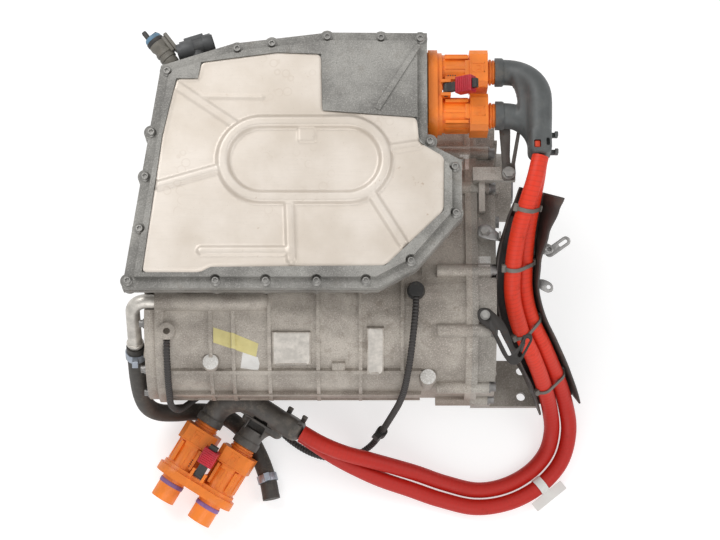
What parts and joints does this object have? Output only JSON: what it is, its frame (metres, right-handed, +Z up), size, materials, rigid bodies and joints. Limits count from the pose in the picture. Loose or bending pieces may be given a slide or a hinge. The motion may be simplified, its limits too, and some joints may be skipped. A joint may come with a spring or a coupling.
{
  "type": "electric drive unit",
  "caption": "Electric drive unit: motor, reduction gearbox and flat-topped inverter in cast housings, with an orange high-voltage lead, coolant hose and harness tube.",
  "frame": {"origin": "mouth of the right output bore, on the axle line", "axes": "+X along the axle to the right, +Y to the back, +Z up; the unit stands on its cast feet"},
  "size_m": [0.6142, 0.6242, 0.3668],
  "materials": {
    "cast_housing": "as cast, dusty",
    "cast_gearbox": "as cast, stained",
    "cast_tray": "as cast",
    "cast_frame": "as cast",
    "stamped_plate": "satin",
    "zinc_bolts": "zinc plated",
    "case_bolts": "zinc plated, dull",
    "gear_steel": "ground",
    "diff_steel": "machined",
    "bevel_steel": "forged",
    "bearing_steel": "polished",
    "lamination": "varnished",
    "copper": "enamelled",
    "black_rubber": "matt",
    "hose_rubber": "dusty",
    "purple_rubber": "matt",
    "black_plastic": "moulded",
    "grey_plastic": "moulded",
    "harness_sleeve": "woven sleeve",
    "conduit_plastic": "moulded",
    "boot_plastic": "moulded, dusty",
    "carrier_plastic": "moulded, dirty",
    "orange_plastic": "moulded",
    "cable_jacket": "taped",
    "crimson_plastic": "moulded",
    "elbow_plastic": "moulded",
    "blue_plastic": "moulded",
    "sheet_steel": "dull",
    "clamp_steel": "plain",
    "black_steel": "painted, dirty",
    "pipe_aluminium": "drawn",
    "module_plastic": "moulded",
    "board": "lacquered",
    "paper": "paper"
  },
  "bodies": {
    "unit": {"motor_housing": "cast_housing", "motor_end_cover": "cast_housing", "end_cover_bolts": "case_bolts", "gearbox_cover": "cast_gearbox", "gearbox_bolts": "case_bolts", "oil_plugs": "case_bolts", "stator_core": "lamination", "stator_windings": "copper", "shaft_bearings": "bearing_steel", "output_seals": "black_rubber", "inverter_tray": "cast_tray", "tray_bolts": "case_bolts", "cover_seal": "black_rubber", "inverter_cover": "cast_frame", "cover_plate": "stamped_plate", "cover_bolts": "zinc_bolts", "power_module": "module_plastic", "link_capacitor": "module_plastic", "control_board": "board", "hv_header": "grey_plastic", "lv_connector": "grey_plastic", "coolant_elbow": "elbow_plastic", "elbow_plug": "blue_plastic", "upper_plug_shell": "orange_plastic", "upper_conduit": "conduit_plastic", "conduit_strap": "sheet_steel", "bracket_bolts": "zinc_bolts", "cable_carrier": "carrier_plastic", "carrier_bracket": "sheet_steel", "steel_bracket": "black_steel", "cable_ties": "black_plastic", "hv_cable_a": "cable_jacket", "hv_cable_b": "cable_jacket", "lower_boot": "boot_plastic", "lower_plug_shell": "orange_plastic", "lower_plug_seals": "purple_rubber", "cable_tag": "paper", "coolant_pipe": "pipe_aluminium", "hose_clamps": "clamp_steel", "coolant_hose": "hose_rubber", "harness_grommet": "black_rubber", "harness_tube": "harness_sleeve", "harness_clip": "black_plastic"},
    "rotor": {"rotor_shaft": "gear_steel", "rotor_core": "lamination", "motor_pinion": "gear_steel"},
    "counter": {"countershaft": "gear_steel", "counter_wheel": "gear_steel"},
    "differential": {"ring_gear": "gear_steel", "ring_gear_bolts": "case_bolts", "differential_case": "diff_steel", "cross_pin": "bevel_steel"},
    "right_side": {"side_gear_right": "bevel_steel"},
    "left_side": {"side_gear_left": "bevel_steel"},
    "back_planet": {"planet_gear_back": "bevel_steel"},
    "front_planet": {"planet_gear_front": "bevel_steel"},
    "upper_lever": {"upper_plug_lever": "black_plastic"},
    "upper_lock": {"upper_plug_lock": "crimson_plastic"},
    "lower_lever": {"lower_plug_lever": "grey_plastic"},
    "lower_lock": {"lower_plug_lock": "crimson_plastic"}
  },
  "joints": [
    {"name": "rotor_spin", "type": "hinge", "parent": "unit", "child": "rotor", "pos_m": [-0.3, -0.18, 0.02], "axis": [1, 0, 0], "continuous": true},
    {"name": "counter_spin", "type": "hinge", "parent": "unit", "child": "counter", "pos_m": [-0.09, -0.10971, -0.026], "axis": [1, 0, 0], "continuous": true},
    {"name": "axle_spin", "type": "hinge", "parent": "unit", "child": "differential", "pos_m": [-0.072, 0, 0], "axis": [1, 0, 0], "continuous": true},
    {"name": "right_output_spin", "type": "hinge", "parent": "differential", "child": "right_side", "pos_m": [-0.072, 0, 0], "axis": [1, 0, 0], "continuous": true},
    {"name": "left_output_spin", "type": "hinge", "parent": "differential", "child": "left_side", "pos_m": [-0.072, 0, 0], "axis": [1, 0, 0], "continuous": true},
    {"name": "back_planet_spin", "type": "hinge", "parent": "differential", "child": "back_planet", "pos_m": [-0.072, 0, 0], "axis": [0, 1, 0], "continuous": true},
    {"name": "front_planet_spin", "type": "hinge", "parent": "differential", "child": "front_planet", "pos_m": [-0.072, 0, 0], "axis": [0, 1, 0], "continuous": true},
    {"name": "upper_lever_swing", "type": "hinge", "parent": "unit", "child": "upper_lever", "pos_m": [-0.097, 0.083, 0.206], "axis": [0, -1, 0], "range_deg": [-22, 60]},
    {"name": "upper_lock_slide", "type": "slide", "parent": "upper_lever", "child": "upper_lock", "axis": [0.8192, 0, 0.5736], "range_m": [0, 0.005]},
    {"name": "lower_lever_swing", "type": "hinge", "parent": "unit", "child": "lower_lever", "pos_m": [-0.43057, -0.38891, -0.06643], "axis": [0.848, -0.5299, 0], "range_deg": [-1, 80]},
    {"name": "lower_lock_slide", "type": "slide", "parent": "lower_lever", "child": "lower_lock", "axis": [0.4841, 0.7747, 0.4067], "range_m": [0, 0.005]}
  ],
  "couplings": [
    {"joint": "counter_spin", "follows": "rotor_spin", "ratio": -0.33333},
    {"joint": "axle_spin", "follows": "rotor_spin", "ratio": 0.10053},
    {"joint": "left_output_spin", "follows": "right_output_spin", "ratio": -1},
    {"joint": "back_planet_spin", "follows": "right_output_spin", "ratio": -1},
    {"joint": "front_planet_spin", "follows": "right_output_spin", "ratio": 1}
  ]
}
